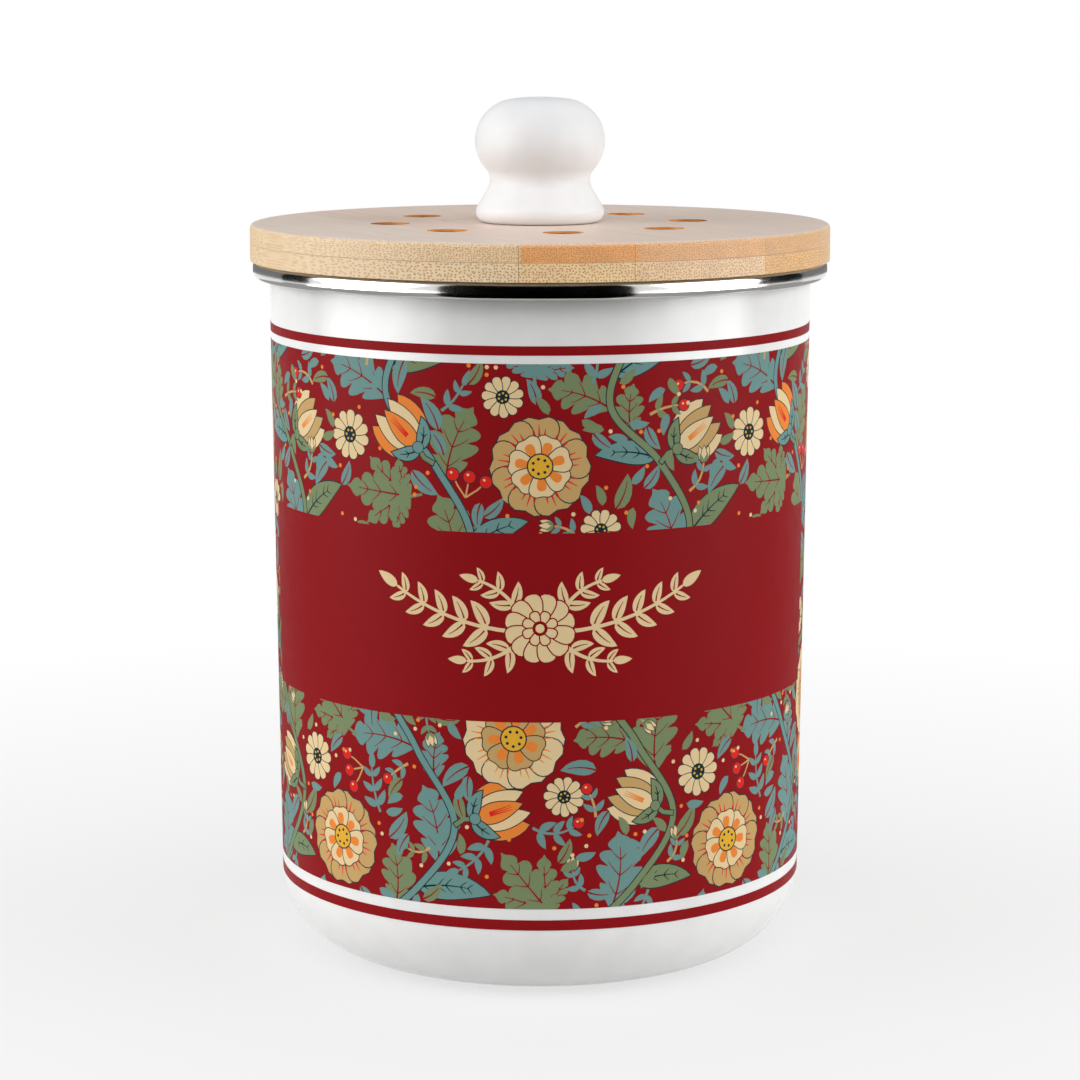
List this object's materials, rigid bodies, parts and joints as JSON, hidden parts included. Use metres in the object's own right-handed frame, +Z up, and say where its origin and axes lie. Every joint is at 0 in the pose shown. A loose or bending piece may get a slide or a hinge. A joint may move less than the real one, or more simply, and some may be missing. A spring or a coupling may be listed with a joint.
{
  "type": "compost caddy",
  "caption": "Enamelled steel worktop canister for food scraps, with a vented bamboo lid that lifts off by a ceramic knob and holds a charcoal filter.",
  "frame": {"origin": "middle of the base, on the plane that the canister stands on", "axes": "+Z up along the canister's axis, -Y towards the front of the picture"},
  "size_m": [0.16, 0.16, 0.237],
  "materials": {
    "enamel": "glossy white vitreous enamel on drawn steel",
    "rim_steel": "polished stainless steel",
    "bamboo": "satin oiled laminated bamboo",
    "seal_silicone": "matt translucent silicone",
    "tray_plastic": "satin moulded polypropylene",
    "charcoal_felt": "needled felt filled with activated charcoal",
    "knob_ceramic": "glossy white glaze",
    "insert_brass": "turned brass",
    "fixing_steel": "plain stainless steel"
  },
  "bodies": {
    "canister": {"canister_shell": "enamel", "rim_band": "rim_steel"},
    "lid": {"lid_upper_ply": "bamboo", "lid_lower_ply": "bamboo", "lid_plug_ring": "bamboo", "lid_seal": "seal_silicone", "knob": "knob_ceramic", "knob_insert": "insert_brass", "knob_screw": "fixing_steel", "knob_washer": "fixing_steel"},
    "filter": {"filter_tray": "tray_plastic", "filter_pad": "charcoal_felt"}
  },
  "joints": [
    {"name": "lid_lift", "type": "slide", "parent": "canister", "child": "lid", "axis": [0, 0, 1], "range_m": [0, 0.2]},
    {"name": "tray_pull", "type": "slide", "parent": "lid", "child": "filter", "axis": [0, 0, -1], "range_m": [0, 0.03]}
  ]
}
